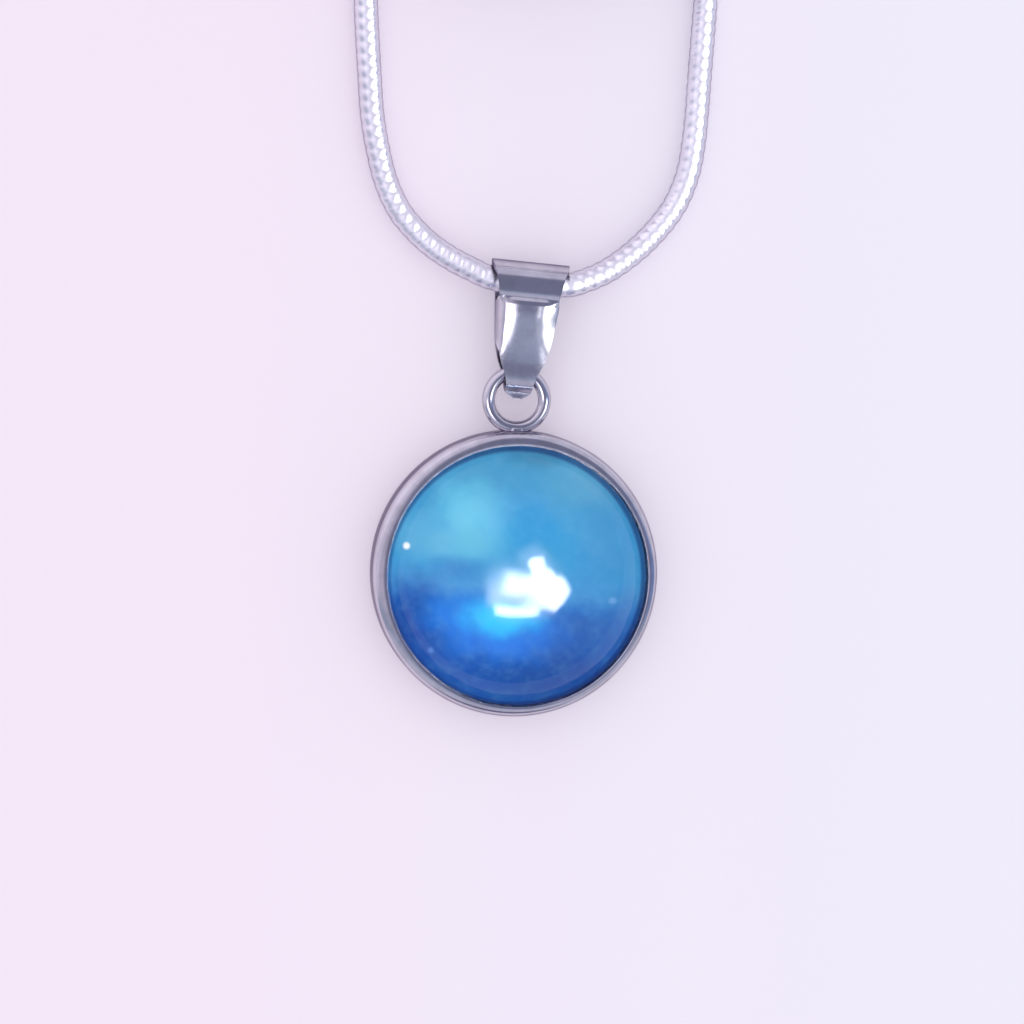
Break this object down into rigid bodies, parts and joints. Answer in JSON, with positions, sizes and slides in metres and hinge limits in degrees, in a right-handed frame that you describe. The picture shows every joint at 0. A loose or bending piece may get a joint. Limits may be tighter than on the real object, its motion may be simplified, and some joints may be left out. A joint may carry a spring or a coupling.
{
  "type": "pendant necklace",
  "caption": "Round domed glass pendant in a metal cup, hung by a ring and a folded bail on a round snake chain with a lobster clasp.",
  "frame": {"origin": "middle of the cup's flat back, on the surface that the necklace lies on", "axes": "+Y runs from the cup's middle through the pendant's ring, +Z is out of the pendant's face"},
  "size_m": [0.0224, 0.0819, 0.005],
  "materials": {
    "polished_metal": "polished silver-coloured plating, lightly softened",
    "chain_metal": "polished snake chain with fine overlapping links",
    "spring_steel": "drawn wire",
    "blue_glass": "polished dome",
    "blue_foil": "blue and teal marbled foil under the glass",
    "adhesive": "clear cured adhesive"
  },
  "bodies": {
    "chain": {"chain_loop": "chain_metal", "chain_coil": "chain_metal", "chain_tail_clasp": "chain_metal", "chain_tail_ring": "chain_metal", "end_cap_clasp": "polished_metal", "end_cap_ring": "polished_metal"},
    "bail": {"bail": "polished_metal"},
    "pendant": {"bezel_cup": "polished_metal", "glass_cabochon": "blue_glass", "colour_foil": "blue_foil", "adhesive_pad": "adhesive", "pendant_ring": "polished_metal"},
    "clasp_link": {"clasp_jump_ring": "polished_metal"},
    "clasp": {"clasp_body": "polished_metal", "clasp_spring": "spring_steel", "clasp_pin": "polished_metal"},
    "lever": {"clasp_lever": "polished_metal"},
    "end_link": {"end_ring": "polished_metal"}
  },
  "joints": [
    {"name": "bail_swing", "type": "hinge", "parent": "chain", "child": "bail", "pos_m": [0.00051, 0.0141, 0.00128], "axis": [-0.9959, 0.0906, 0], "range_deg": [0, 110]},
    {"name": "pendant_swing", "type": "hinge", "parent": "bail", "child": "pendant", "pos_m": [0.00012, 0.00986, 0.00128], "axis": [-0.9959, 0.0906, 0], "range_deg": [0, 45]},
    {"name": "clasp_ring_swing", "type": "hinge", "parent": "chain", "child": "clasp_link", "pos_m": [-0.00855, 0.06399, 0.00095], "axis": [1, 0, 0], "range_deg": [0, 30]},
    {"name": "clasp_swing", "type": "hinge", "parent": "clasp_link", "child": "clasp", "pos_m": [-0.00855, 0.0649, 0.0011], "axis": [1, 0, 0], "range_deg": [0, 45]},
    {"name": "clasp_lever_turn", "type": "hinge", "parent": "clasp", "child": "lever", "pos_m": [-0.00785, 0.069, 0.0011], "axis": [0, 0, 1], "range_deg": [0, 20], "stiffness_Nm_per_rad": 0.002, "springref_deg": -20.05},
    {"name": "end_ring_swing", "type": "hinge", "parent": "chain", "child": "end_link", "pos_m": [0.00945, 0.06315, 0.0011], "axis": [1, 0, 0], "range_deg": [0, 70]}
  ]
}
